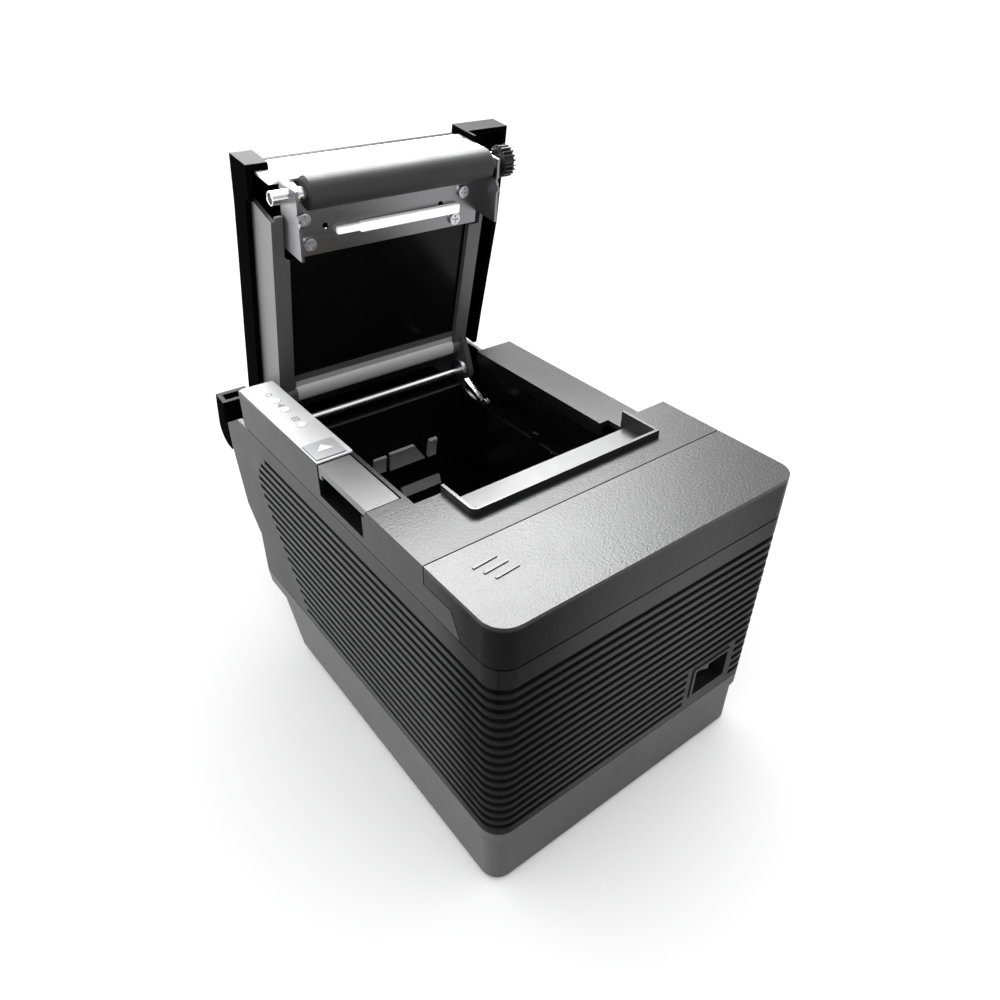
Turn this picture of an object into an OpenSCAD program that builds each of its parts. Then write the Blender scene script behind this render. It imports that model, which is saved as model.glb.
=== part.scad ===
// Thermal receipt printer with its paper lid standing open.
// Units are millimetres. Origin: middle of the footprint, on the surface the feet rest on. +Z is up,
// the front face looks towards -Y and the lid hinges along X near the back.

/* [Case] */
// Overall width of the case
body_w = 145; // [143:0.5:150]
// Radius of the two upright front corners
corner_r = 9; // [5:0.5:11]
// Wall thickness of the moulded case
wall = 2.4; // [1.8:0.1:2.6]
// Height of the rubber feet
foot_h = 2.5; // [2:0.1:4]
// Radius of the rubber feet
foot_r = 6; // [4:0.5:8]

/* [Ribs] */
// Number of grooves in the rib field
rib_count = 17; // [8:1:17]
// Height of each groove
rib_groove = 2.3; // [1.5:0.1:3]
// Depth of each groove
rib_depth = 1.5; // [0.8:0.1:1.7]

/* [Lid] */
// Angle the lid stands open from its closed position
lid_open = 82.456; // [60:0.001:85]
// Skin thickness of the lid
lid_wall = 2.4; // [1.8:0.1:2.6]
// Radius of the hinge pins
hinge_pin_r = 2; // [1.5:0.1:2.2]

/* [Platen] */
// Radius of the rubber roller
roller_r = 6.4; // [5.2:0.1:6.4]
// Radius of the steel roller shaft
shaft_r = 2; // [1.8:0.1:2]
// Tooth count of the roller gear
platen_teeth = 20; // [20:1:20]

/* [Controls] */
// Diameter of the indicator lamps
lamp_d = 3.8; // [2.5:0.1:4.4]
// Travel of the feed button
button_travel = 0.8; // [0.4:0.1:0.8]
// Thickness of the status label
label_t = 0.5; // [0.3:0.1:0.8]

/* [Hidden] */
// Height of the top face above the underside of the case
top_z = 137.3;
// Height of the joint between base and case
seam_z = 31.7;
// Height of the joint between case and top frame
band_z = 119.3;
// Fore and aft position of the hinge axis
hy = 186.3;
// Height of the hinge axis
hz = 113.9;
// Middle of the footprint from front to back
yc = 111.79;
// Fore and aft position of the roller axis with the lid closed
ry = 76;
// Height of the roller axis with the lid closed
rz = 103.5;
// Outer radius of the roller bushings
bush_r = 2.7;
// Fore and aft position of the lever pivot
lp_y = 70;
// Height of the lever pivot
lp_z = 130.6;
// Radius of the sweep the rear of the case follows
sweep_r = 31.5;
// Gear module of the feed train
gm = 0.6;
// Idler gear tooth count
idler_teeth = 24;
// Motor pinion tooth count
pinion_teeth = 14;
// Height of the idler axis
idler_z = rz - (platen_teeth + idler_teeth) * gm / 2 - 0.1;
// Distance from idler to motor pinion
ip = (idler_teeth + pinion_teeth) * gm / 2 + 0.1;
// Fore and aft position of the motor pinion axis
py = ry + ip * cos(240);
// Height of the motor pinion axis
pz = idler_z + ip * sin(240);
// Gear module of the cutter rack
cm = 0.8;
// Cutter pinion tooth count
cutter_teeth = 12;
// Fore and aft position of the cutter pinion
cy = 52;
// Sideways position of the cutter pinion
cx = 35;
// Mirror position across the middle of the paper path
mx = body_w + 2;
// Facets on round pieces
$fn = 64;

// ---------- helpers ----------

module place() { translate([-body_w / 2, -yc, foot_h]) children(); }
module lid_place() {
  place() translate([0, hy, hz]) rotate([-lid_open, 0, 0]) translate([0, -hy, -hz]) children();
}
// side outline (front-back, height) swept across the width
module ex(x0, x1) { translate([x0, 0, 0]) rotate([90, 0, 90]) linear_extrude(x1 - x0) children(); }
// front outline (width, height) swept front to back
module ey(y0, y1) { translate([0, y1, 0]) rotate([90, 0, 0]) linear_extrude(y1 - y0) children(); }
module ez(z0, z1) { translate([0, 0, z0]) linear_extrude(z1 - z0) children(); }
module bx(x0, x1, y0, y1, z0, z1) { translate([x0, y0, z0]) cube([x1 - x0, y1 - y0, z1 - z0]); }
module cx_(x0, x1, y, z, r) { translate([x0, y, z]) rotate([0, 90, 0]) cylinder(h = x1 - x0, r = r); }
module cz_(x, y, z0, z1, r) { translate([x, y, z0]) cylinder(h = z1 - z0, r = r); }
module cy_(x, z, y0, y1, r) { translate([x, y1, z]) rotate([90, 0, 0]) cylinder(h = y1 - y0, r = r); }
// plan outline with two rounded front corners
module plan(x0, x1, y0, y1, r) {
  translate([x0 + r, y0]) square([x1 - x0 - 2 * r, y1 - y0]);
  translate([x0, y0 + r]) square([x1 - x0, y1 - y0 - r]);
  for (x = [x0 + r, x1 - r]) translate([x, y0 + r]) circle(r = r);
}
// rectangle with four rounded corners
module rrect(x0, x1, y0, y1, r) {
  translate([x0 + r, y0]) square([x1 - x0 - 2 * r, y1 - y0]);
  translate([x0, y0 + r]) square([x1 - x0, y1 - y0 - 2 * r]);
  for (x = [x0 + r, x1 - r], y = [y0 + r, y1 - r]) translate([x, y]) circle(r = r);
}
// toothed wheel outline, one tooth centred on angle ph
module gear2(n, m, ph) {
  r = n * m / 2;
  w = 360 / n * 0.46;
  polygon([for (i = [0:n - 1], k = [0:3])
    let (a = ph + i * 360 / n + (k == 0 ? -0.64 : k == 1 ? -0.3 : k == 2 ? 0.3 : 0.64) * w,
         q = (k == 0 || k == 3) ? r - 1.15 * m : r + 0.92 * m)
    [q * cos(a), q * sin(a)]]);
}

// ---------- base ----------

module base_side() {
  polygon([[0, 0], [163.8, 0], [181, 24.8], [191, 24.8], [194, seam_z - 0.4], [0, seam_z - 0.4]]);
}

module base_pan() color([0.16, 0.16, 0.17]) place() difference() {
  union() {
    intersection() {
      ex(1.3, body_w - 1.3) base_side();
      ez(0, 25.2) plan(1.3, body_w - 1.3, 1.3, 260, corner_r - 1.3);
    }
    intersection() {
      ex(0, body_w) base_side();
      ez(24.6, seam_z - 0.4) plan(0, body_w, 0, 260, corner_r);
    }
  }
  // hollow
  difference() {
    ez(2.4, 40) plan(3.6, body_w - 3.6, 3.6, 190.6, corner_r - 3.6);
    // wall round the connector recess
    bx(9, body_w - 9, 155.4, 260, -1, 30);
    for (x = [30, mx - 31]) cz_(x, 49, 0, 41, 3.6);
    ex(-1, body_w + 1) polygon([[161, -1], [165, 4], [178.6, 25.4], [178.6, 27.4], [260, 27.4], [260, -1]]);
  }
  // recess the plugs sit in, open behind and below
  bx(11.4, body_w - 11.4, 155.4, 260, -1, 27.6);
  // foot pockets
  for (x = [16, body_w - 16], y = [16, 146]) cz_(x, y, -1, 0.8, foot_r);
  // screw wells
  for (x = [28, body_w - 28], y = [30, 132]) cz_(x, y, -1, 1.6, 3.4);
}

// tall posts the print mechanism stands on
module mech_posts() color([0.16, 0.16, 0.17]) place()
  for (x = [30, mx - 31]) difference() {
    cz_(x, 49, seam_z - 0.4, 64, 3.6);
    cz_(x, 49, 54, 65, 1.2);
  }

module rubber_feet() color([0.05, 0.05, 0.05]) place()
  for (x = [16, body_w - 16], y = [16, 146]) cz_(x, y, -foot_h, 0.8, foot_r);

module base_screws() color([0.6, 0.6, 0.62]) place()
  for (x = [28, body_w - 28], y = [30, 132]) difference() {
    cz_(x, y, 0.2, 1.6, 2.8);
    translate([x - 2, y - 0.4, -0.5]) cube([4, 0.8, 1.3]);
    translate([x - 0.4, y - 2, -0.5]) cube([0.8, 4, 1.3]);
  }

// ---------- main case ----------

// rear end of the grooves at height z
function rib_end(z) = lookup(z, [[35, 147.5], [45, 153.2], [55.6, 160.2], [66, 167], [73, 171.2], [82, 176.4], [87, 179.4],
  [91, 180.8], [95, 180.4], [99.4, 178.6], [104, 175], [109, 168.5], [112, 158]]);

module case_side() {
  polygon([[0, seam_z], [193.9, seam_z], [193.9, 54], [205, 66.6], [211, 97], [211, 119], [0, 119]]);
  intersection() {
    translate([hy, hz]) circle(r = sweep_r, $fn = 128);
    translate([200, 96.2]) square([30, 22.8]);
  }
}
module case_side_in() {
  polygon([[wall, seam_z - 1], [193.9 - wall, seam_z - 1], [193.9 - wall, 54.9], [202.8, 67.3], [208.6, 97.4],
    [208.6, 121], [wall, 121]]);
}
module case_swell_in() intersection() {
  translate([hy, hz]) circle(r = sweep_r - wall, $fn = 128);
  translate([200, 98]) square([30, 23]);
}

module main_case() color([0.17, 0.17, 0.18]) place() difference() {
  intersection() {
    ex(0, body_w) case_side();
    ez(seam_z, 119) plan(0, body_w, 0, 260, corner_r);
  }
  intersection() {
    union() {
      ex(wall, body_w - wall) case_side_in();
      ex(17.5, body_w - wall) case_swell_in();
    }
    ez(seam_z - 1, 121) plan(wall, body_w - wall, wall, 260, corner_r - wall);
  }
  // swing space of the lid
  ex(15, body_w + 1) polygon([[178.6, 125], [178.6, 118.4], [183, 113.6], [190, 111.8], [222, 113.6], [222, 125]]);
  // rear left corner, cut down for the left end of the hood
  ex(-1, 15.1) polygon([[195.2, 121], [195.2, 119.2], [211.2, 110.2], [211.2, 95], [232, 95], [232, 121]]);
  // grooves that wrap the front and both sides
  for (i = [0:rib_count - 1]) {
    z = 35.2 + i * 4.55;
    ez(z, z + rib_groove) difference() {
      translate([-1, -1]) square([body_w + 2, rib_end(z) + 1]);
      plan(rib_depth, body_w - rib_depth, rib_depth, 300, corner_r - rib_depth);
      if (z > 32 && z < 57.5) translate([body_w - 44.3, -2]) square([30.2, 6]);
    }
  }
  // front window
  ey(-1, 6) rrect(body_w - 41, body_w - 17.5, 37.6, 55, 1);
}

module window_bezel() color([0.1, 0.1, 0.11]) place() ey(-0.5, 2.4) difference() {
  rrect(body_w - 41, body_w - 17.5, 37.6, 55, 1);
  rrect(body_w - 39.4, body_w - 19.1, 39.2, 53.4, 0.8);
}

module switch_housing() color([0.03, 0.03, 0.03]) place() difference() {
  bx(body_w - 41.6, body_w - 16.9, 2.5, 18, 37, 55.6);
  bx(body_w - 39.4, body_w - 19.1, 0, 16, 39.2, 53.4);
  cz_(body_w - 29.25, 11, 38.2, 54.4, 1.05);
}

module power_rocker() color([0.3, 0.3, 0.31]) place()
  translate([body_w - 29.25, 11, 0]) rotate([0, 0, -8]) translate([29.25 - body_w, -11, 0]) {
    difference() {
      ez(41.6, 51) polygon([[body_w - 38, 8.2], [body_w - 35.5, 5], [body_w - 29.25, 6.4], [body_w - 23, 5],
        [body_w - 20.5, 8.2], [body_w - 23, 11.4], [body_w - 27.5, 13.2], [body_w - 31, 13.2], [body_w - 35.5, 11.4]]);
    }
    cz_(body_w - 29.25, 11, 38.4, 54.2, 1);
  }

// ---------- top frame ----------

module top_side() {
  polygon([[19.5, 119.6], [24.4, 129.2], [39.8, 129.2], [39.8, top_z], [186.8, top_z], [186.8, 119.6]]);
}

module top_case() color([0.18, 0.18, 0.19]) place() difference() {
  union() {
    difference() {
      intersection() {
        ex(0, body_w) top_side();
        ez(119, 140) plan(0, body_w, 0, 260, corner_r);
      }
      // under the bridge
      bx(wall, body_w - wall, 0, 67.6, 118, top_z - wall);
      bx(18, 122, 60, 70.1, 118, top_z - wall);
      // inside the left strip
      bx(wall, 14.6, 113.8, 185.2, 118, top_z - wall);
      bx(wall, 14.6, 74, 114, 118, 121.8);
      // bay
      bx(16.2, body_w - 21.5, 69.9, 200, 118, 140);
      bx(16.2, body_w + 1, 178.1, 200, 118, 140);
      // low rail on the right
      bx(body_w - 21.6, body_w + 1, 70, 200, 126.1, 140);
      bx(body_w - 19.7, body_w - wall, 67, 176.3, 118, 123.7);
      // notch the roller gear drops through
      bx(body_w - 22, body_w - 16.4, 69.9, 86, 118, 127);
    }
  }
  // opening for the paper exit guard
  ez(130, 140) guard_plan(27.9, body_w - 23.5, 50.4, 71, 3.2);
  // seat of the latch lever, its front edge curved about the hidden pivot
  ex(-1, 14.6) polygon([[78.2, 133.4], [77.9, 134], [77.4, 135], [76.7, 136], [75.5, 137.3], [73.6, 139], [73.6, 141],
    [112.9, 141], [112.9, 133.4]]);
  // finger recess under the lever, open on the left
  bx(-1, 14.6, 79.7, 112.9, 123.2, 133.5);
  // room for the lever's arm
  bx(wall, 14.6, 67, 80, 118, 133.5);
  bx(wall, 14.6, 67, 77.2, 118, top_z - wall);
  translate([1, lp_y, lp_z]) rotate([0, 90, 0]) cylinder(h = 15.2, r = 1);
  // feed button and lamps
  bx(0.9, 14.1, 114.3, 127.3, 130, 140);
  for (y = [143, 158.5, 168]) cz_(9, y, 130, 140, lamp_d / 2);
}

module front_cover() color([0.2, 0.2, 0.21]) place() {
  difference() {
    intersection() {
      ex(0, body_w) polygon([[0, 119.6], [18.9, 119.6], [23.9, 129.6], [39.3, 129.6], [39.3, top_z], [0, top_z]]);
      ez(119, 140) plan(0, body_w, 0, 60, corner_r);
    }
    ez(118, top_z - wall) plan(wall, body_w - wall, wall, 60, corner_r - wall);
  }
  // three raised dashes
  for (i = [0:2]) translate([12 + i * 1.6, 28.4 - i * 4, top_z - 0.2]) rotate([0, 0, 4]) cube([10, 1, 0.6]);
}

module status_label() color([0.78, 0.78, 0.79]) place() ez(top_z, top_z + label_t) difference() {
  rrect(0.5, 16, 113.2, 186.6, 0.8);
  rrect(0.9, 14.1, 114.3, 127.3, 0.5);
  for (y = [143, 158.5, 168]) translate([9, y]) circle(r = lamp_d / 2);
}

module lamp_lenses() color([0.9, 0.9, 0.88]) place()
  for (y = [143, 158.5, 168]) cz_(9, y, top_z - wall, top_z + label_t + 0.3, lamp_d / 2 - 0.05);

module exit_guard() color([0.12, 0.12, 0.13]) place() {
  ez(130.6, top_z + 3) difference() {
    guard_plan(28.1, body_w - 23.7, 50.6, 70.6, 3);
    guard_plan(29.4, body_w - 25, 51.9, 80, 1.8);
  }
  bx(29.3, body_w - 24.9, 51.8, 67.3, 131.4, 134.2);
  ez(132.6, 134.8) difference() {
    guard_plan(25.9, body_w - 22, 48.6, 67.3, 5);
    guard_plan(29.3, body_w - 24.9, 51.8, 80, 1.8);
  }
}
module guard_plan(x0, x1, y0, y1, r) {
  translate([x0 + r, y0]) square([x1 - x0 - r, y1 - y0]);
  translate([x0, y0 + r]) square([x1 - x0, y1 - y0 - r]);
  translate([x0 + r, y0 + r]) circle(r = r);
}

module tear_bar() color([0.75, 0.75, 0.76]) place()
  ey(67.4, 68.4) polygon(concat([[31, 128], [mx - 31, 128]],
    [for (i = [0:43], k = [0:1]) [mx - 31 - (mx - 62) * (i + k * 0.5) / 44, k == 0 ? 131.8 : 132.8]],
    [[31, 131.8]]));

// ---------- rear connectors ----------

module connector_plate() color([0.55, 0.55, 0.57]) place() difference() {
  bx(11.5, body_w - 11.5, 155.6, 156.8, 2.5, 27.5);
  bx(20, 36, 150, 160, 11, 25);
  bx(44, 57, 150, 160, 11, 23);
  bx(63, 80, 150, 160, 11, 25);
  bx(86, 100, 150, 160, 11, 23);
  bx(106, 128, 150, 160, 11, 23);
}
module socket(x0, x1, z0, z1, d, t) difference() {
  bx(x0, x1, 157.8 - d, 157.8, z0, z1);
  bx(x0 + t, x1 - t, 157.8 - d + t, 160, z0 + t, z1 - t);
}
module dc_inlet() color([0.04, 0.04, 0.04]) place() difference() {
  bx(20.2, 35.8, 144.8, 157.8, 11.2, 24.8);
  cy_(28, 18, 147, 160, 4.2);
}
module usb_port() color([0.7, 0.7, 0.72]) place() socket(44.2, 56.8, 11.2, 22.8, 14, 1.4);
module network_port() color([0.7, 0.7, 0.72]) place() socket(63.2, 79.8, 11.2, 24.8, 14, 1.6);
module drawer_port() color([0.05, 0.05, 0.05]) place() socket(86.2, 99.8, 11.2, 22.8, 14, 1.6);
module serial_port() color([0.6, 0.6, 0.62]) place() difference() {
  union() {
    bx(106.2, 127.8, 150, 157.6, 11.2, 22.8);
    ey(157.6, 162.6) polygon([[108.5, 20.6], [110, 13.4], [124, 13.4], [125.5, 20.6]]);
  }
  ey(158.6, 164) polygon([[109.6, 19.9], [110.7, 14.1], [123.3, 14.1], [124.4, 19.9]]);
}

// ---------- paper bay ----------

module bucket_out() {
  difference() {
    union() {
      translate([137, 71]) circle(r = 44.1, $fn = 128);
      translate([92.9, 71]) square([88.2, 32]);
    }
    translate([80, 103]) square([120, 30]);
  }
}
module bucket_in() {
  translate([137, 71]) circle(r = 42.5, $fn = 128);
  translate([94.5, 71]) square([85, 60]);
}
module roll_bucket() color([0.02, 0.02, 0.02]) place() {
  difference() {
    ex(26.6, 115.4) bucket_out();
    ex(28.2, 113.8) bucket_in();
  }
  // rear shelf with a rolled front lip
  difference() {
    union() {
      ex(26.6, 115.4) polygon([[179.5, 102.9], [181.1, 102.9], [181.1, 106.6], [208.2, 106.6], [208.2, 108.2],
        [179.5, 108.2]]);
      cx_(26.6, 115.4, 181, 108.2, 1.5);
    }
  }
  // side decks and inner side walls of the bay
  bx(16.6, 26.7, 101, 179.6, 100, 101.6);
  bx(16.6, 17.8, 90, 179.6, 101.6, 119.2);
  bx(16.6, 17.8, 90, 102, 100, 101.7);
  bx(115.4, body_w - 19.9, 103, 176, 100, 101.6);
  bx(body_w - 21.3, body_w - 19.9, 90, 176, 101.6, 119.2);
  // raised lip along the right side wall
  ex(113.8, 115.4) polygon([[92.9, 102.9], [92.9, 104.4], [116, 104.4], [116.6, 108.6], [120.4, 108.6], [121, 104.4],
    [153, 104.6], [162, 105.2], [170, 106.6], [177, 108.1], [179.4, 108.1], [179.4, 102.9]]);
  cx_(113.3, 115.9, 106, 103.6, 0.9);
  // legs
  for (x = [28.2, 110.2]) bx(x, x + 3.6, 119, 142, 2.4, 29.5);
  // front apron that feeds the paper up to the head
  ex(33, body_w - 31) polygon([[92.9, 102.9], [94.5, 102.9], [94.5, 104.3], [86, 104.3], [86, 102.9]]);
}

module paper_sensor() color([0.25, 0.25, 0.26]) place() {
  bx(70, 78, 84.9, 91.9, 95, 101.6);
  bx(71, 77, 85.4, 92.8, 92, 95);
}

// ---------- print mechanism ----------

module frame_plate2() difference() {
  polygon([[44, 62], [88, 62], [88, 96], [83, 107.5], [44, 113]]);
  polygon([[ry - bush_r - 0.1, rz], [ry + bush_r + 0.1, rz], [ry + 3.4, rz + 20], [ry - 3.8, rz + 20], [ry - 3.8, rz + 9]]);
  translate([ry, rz]) circle(r = bush_r + 0.1);
  translate([58, 101]) circle(r = 2.8);
}
module mech_frame() color([0.66, 0.67, 0.69]) place() {
  difference() {
    ex(22.8, 24) frame_plate2();
  }
  difference() {
    ex(mx - 27.4, mx - 26.2) frame_plate2();
    cx_(110, 125, py, pz, 3.4);
    cx_(110, 125, ry, idler_z, 1.5);
  }
  bx(24, mx - 27.4, 44, 45.2, 64, 110);
  // feet that stand on the base posts
  bx(24, mx - 27.4, 45.2, 54, 64, 65.2);
}

module heat_sink() color([0.62, 0.63, 0.64]) place() {
  bx(33, 114, 61.5, 66, 97.2, 112);
  for (i = [0:4]) bx(33, 114, 58.6, 61.5, 106 + i * 1.2, 106.6 + i * 1.2);
}
module print_head() color([0.35, 0.3, 0.22]) place() bx(34, 113, 66, 69.1, 98.4, 112);
module head_springs() color([0.7, 0.7, 0.72]) place()
  for (x = [46, 101]) difference() {
    cy_(x, 108.8, 45.2, 58.6, 2.4);
    cy_(x, 108.8, 44, 63, 1.7);
  }

module cutter_plate() color([0.64, 0.65, 0.67]) place() difference() {
  bx(26.4, 120.6, 41.4, 65.4, 122.6, 123.8);
  cz_(cx, cy, 120, 126, 1.7);
}
module cutter_motor() color([0.5, 0.5, 0.52]) place() cz_(cx, cy, 106, 122.6, 6.6);
module cutter_pinion() color([0.85, 0.85, 0.8]) place() translate([cx, cy, 0]) {
  ez(124.1, 126.4) gear2(cutter_teeth, cm, 0);
  translate([0, 0, 122.7]) cylinder(h = 1.4, r = 1.4);
}
module cutter_blade() color([0.78, 0.79, 0.8]) place() ez(124.2, 125.4)
  polygon(concat([[74.5, 61.4], [108, 64.6], [108, 43], [cx + cutter_teeth * cm / 2 + 1.02, 43]],
    // rack teeth along the left edge
    [for (j = [-3:1], k = [0:3]) [cx + cutter_teeth * cm / 2 + (k == 0 || k == 3 ? 1.02 : -0.64),
      cy + PI * cm * (j + 0.5) + (k == 0 ? -0.84 : k == 1 ? -0.34 : k == 2 ? 0.34 : 0.84)]],
    [[cx + cutter_teeth * cm / 2 + 1.02, 64.6]]));

module drive_motor() color([0.3, 0.3, 0.31]) place() {
  bx(96, mx - 28.6, py - 15, py + 15, pz - 15, pz + 15);
  difference() {
    cx_(mx - 28.6, mx - 27.4, py, pz, 9);
    cx_(mx - 29, mx - 27, py, pz, 3.2);
  }
}
module drive_pinion() color([0.8, 0.76, 0.6]) place() {
  translate([0, py, pz]) ex(mx - 24.6, mx - 19.4) gear2(pinion_teeth, gm, 60);
  cx_(mx - 28.4, mx - 24.6, py, pz, 1.5);
}
module idler_pin() color([0.7, 0.7, 0.72]) place() {
  cx_(mx - 27.4, mx - 18.2, ry, idler_z, 1.5);
}
module idler_gear() color([0.85, 0.85, 0.82]) place() difference() {
  translate([0, ry, idler_z]) ex(mx - 24.6, mx - 19.4) gear2(idler_teeth, gm, 7.5);
  cx_(mx - 26, mx - 18, ry, idler_z, 1.56);
}

// ---------- electronics ----------

module main_board() color([0.05, 0.2, 0.1]) place() difference() {
  bx(36, 107, 56, 143, 6.4, 8);
  for (x = [41, 102], y = [62, 128]) cz_(x, y, 6, 9, 1.6);
}
module board_posts() color([0.16, 0.16, 0.17]) place()
  for (x = [41, 102], y = [62, 128]) {
    cz_(x, y, 2.4, 6.4, 3.2);
    cz_(x, y, 6.4, 8.6, 1.6);
  }
module board_parts() color([0.08, 0.08, 0.09]) place() {
  bx(60, 76, 66, 82, 8, 9.8);
  bx(84, 98, 70, 80, 8, 10);
  bx(44, 52, 74, 96, 8, 16);
  bx(84, 96, 94, 100, 8, 10.4);
  for (x = [56, 68]) cz_(x, 104, 8, 17, 4);
  bx(72, 94, 58, 64, 8, 15);
}
module indicator_board() color([0.05, 0.2, 0.1]) place() bx(3, 13.8, 116, 182, 126.8, 128.2);
module button_switch() color([0.1, 0.1, 0.1]) place() {
  bx(4.5, 10.5, 117.8, 123.8, 128.2, 131.4);
  cz_(7.5, 120.8, 131.4, 132.2, 1.7);
}
module feed_button() color([0.62, 0.62, 0.63]) place() {
  rb = 0.3;
  difference() {
    ez(134, top_z + 1) rrect(0.9 + rb, 14.1 - rb, 114.3 + rb, 127.3 - rb, 0.5);
  }
  ez(133.2, 134.6) rrect(2.7, 14.3, 114.1, 127.5, 0.5);
}

// ---------- latch ----------

module latch_pin() color([0.7, 0.7, 0.72]) place() cx_(1.1, 16, lp_y, lp_z, 1);
module latch_lever() color([0.17, 0.17, 0.18]) place() difference() {
  union() {
    // plate, flush with the top frame
    ex(0.3, 13.8) polygon([[78.5, 134], [77.7, 135], [77, 136], [75.9, top_z], [112.3, top_z], [112.3, 134]]);
    bx(0.3, 13.8, 110.3, 112.3, 131.6, top_z - 0.5);
    // arm to the pivot
    bx(3.2, 11.4, 81, 84.5, 129, 134.4);
    bx(3.2, 11.4, lp_y, 83, 129, 130.6);
    cx_(3.2, 11.4, lp_y, lp_z, 2.2);
  }
  cx_(-1, 20, lp_y, lp_z, 1.06);
}
module latch_shaft() color([0.7, 0.7, 0.72]) place() cx_(8, mx - 8, 58, 101, 2.5);
module latch_hooks() color([0.6, 0.61, 0.63]) place()
  for (x = [18.6, mx - 18.6 + 0.8]) difference() {
    ex(x, x + 2) {
      polygon([[55, 97], [61.5, 97], [68.5, 103], [71.6, 107.6], [71.6, 109.4], [67.6, 109.4], [55, 104.5]]);
      translate([58, 101]) circle(r = 4.4);
    }
    cx_(x - 1, x + 3, 58, 101, 2.5);
  }

// ---------- hinge ----------

module hinge_brackets() color([0.66, 0.67, 0.69]) place()
  for (x = [22.4, mx - 30.4]) difference() {
    ex(x, x + 2) {
      translate([hy, hz]) circle(r = 6.6);
      polygon([[181, 112], [191.8, 112], [191.8, 105], [208.4, 97.4], [205.6, 82.6], [181.4, 92]]);
    }
    cx_(x - 1, x + 3, hy, hz, hinge_pin_r);
  }
// one steel rod carries the lid, from arm to arm
module hinge_rod() color([0.72, 0.72, 0.74]) place() cx_(16.8, body_w - 21.9, hy, hz, hinge_pin_r);
// leaf spring that steadies the open lid, with its coiled foot on the right side wall
module detent_spring() color([0.75, 0.75, 0.77]) place() {
  ex(113.9, 116.3) polygon([[160.4, 105.5], [160.2, 107.1], [166.4, 110], [175.8, 114], [176.4, 112.6], [167, 108.4]]);
  difference() {
    cx_(113.9, 116.3, 158.8, 107.2, 2.2);
    cx_(113, 117, 158.8, 107.2, 1);
  }
}
// near-end sensor window and posts on the rear wall of the bay
module bay_ring(r0, r1, a0, a1) {
  polygon(concat([for (i = [0:8]) let (a = a0 + (a1 - a0) * i / 8) [137 + r1 * cos(a), 71 + r1 * sin(a)]],
    [for (i = [8:-1:0]) let (a = a0 + (a1 - a0) * i / 8) [137 + r0 * cos(a), 71 + r0 * sin(a)]]));
}
module sensor_window() color([0.5, 0.5, 0.51]) place() intersection() {
  ex(60, 95) bay_ring(40.9, 42.4, 4, 20.5);
  ey(150, 190) polygon([[67.4, 70], [69.4, 73.8], [89.2, 73.8], [81, 86.2], [66.6, 86.2], [67.4, 80]]);
}
module sensor_posts() color([0.45, 0.45, 0.46]) place() {
  ex(90.8, 95.6) bay_ring(40.4, 42.4, 4.4, 20);
  ex(57.6, 65) bay_ring(40.9, 42.4, 5.4, 19);
}
// rib the paper roll rests on
module roll_rest() color([0.6, 0.6, 0.61]) place() ex(73, 97) bay_ring(41, 42.4, -21.5, -14);

// ---------- lid, drawn closed and turned open by lid_place() ----------

module lid_side(d) {
  polygon([[60, 138 - d], [70, top_z - d], [90, 138.3 - d], [116, 141.2 - d], [150, 145.3 - d], [178, 148.4 - d],
    [190, 149.6 - d], [200.2, 150.1 - d], [200.2, 110], [60, 110]]);
}
module hood_side(d) {
  intersection() {
    union() {
      lid_side(d);
      translate([200.2, 141.1]) circle(r = 9 - d);
      translate([190, 127.6]) square([19.2 - d, 13.5]);
    }
    translate([187.4, 137.6]) square([40, 30]);
  }
}

// left end of the hood: reaches further forward and in
module hood_end(d, y0) intersection() {
  union() {
    lid_side(d);
    translate([200.2, 141.1]) circle(r = 9 - d);
    translate([190, 127.6]) square([19.2 - d, 13.5]);
  }
  union() {
    translate([187.4, 137.6]) square([40, 30]);
    translate([y0, 138.6]) square([187.6 - y0, 30]);
  }
}

module lid_shell() color([0.15, 0.15, 0.16]) lid_place() {
  difference() {
    ex(0, 14.7) difference() {
      hood_end(0, 183.4);
      translate([hy, hz]) circle(r = 26.5, $fn = 128);
    }
    ex(lid_wall, 15) difference() {
      hood_end(lid_wall, 182);
      translate([hy, hz]) circle(r = 28.5, $fn = 128);
    }
  }
  difference() {
    union() {
      // left wall and horn
      ex(16.6, 19) intersection() {
        lid_side(0);
        polygon([[70.2, 122.7], [84.2, 122.7], [84.2, 126.2], [188, 137.2], [188, 160], [70.2, 160]]);
      }
      // right wall and horn
      ex(body_w - 2.4, body_w) intersection() {
        lid_side(0);
        polygon([[70.2, 126.6], [116, 127.4], [167, 133], [188, 135], [188, 160], [70.2, 160]]);
      }
      // skin
      ex(19, body_w - 2.4) difference() {
        intersection() {
          lid_side(0);
          translate([73.9, 100]) square([114.1, 60]);
        }
        lid_side(lid_wall);
      }
      // left horn block
      difference() {
        ex(16.6, 26) intersection() {
          lid_side(0);
          translate([70.2, 122.7]) square([14, 20]);
        }
        bx(19, 23.6, 72.6, 90, 122, top_z - 2.4);
      }
      // right horn block
      difference() {
        ex(body_w - 23.5, body_w) intersection() {
          lid_side(0);
          translate([70.2, 126.6]) square([14, 20]);
        }
        bx(body_w - 21.5, body_w - 2.4, 72.6, 90, 122, top_z - 2.4);
      }
      // inner lip of the right horn
      bx(body_w - 23.5, body_w - 22.1, 70.2, 72.6, 120.2, 130);
      // hood behind the hinge
      difference() {
        ex(0, body_w) difference() {
          hood_side(0);
          translate([hy, hz]) circle(r = sweep_r + 1.1, $fn = 128);
        }
        ex(lid_wall, body_w - lid_wall) difference() {
          hood_side(lid_wall);
          translate([180, 120]) square([7.3, 50]);
        }
      }
    }
  }
}

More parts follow.
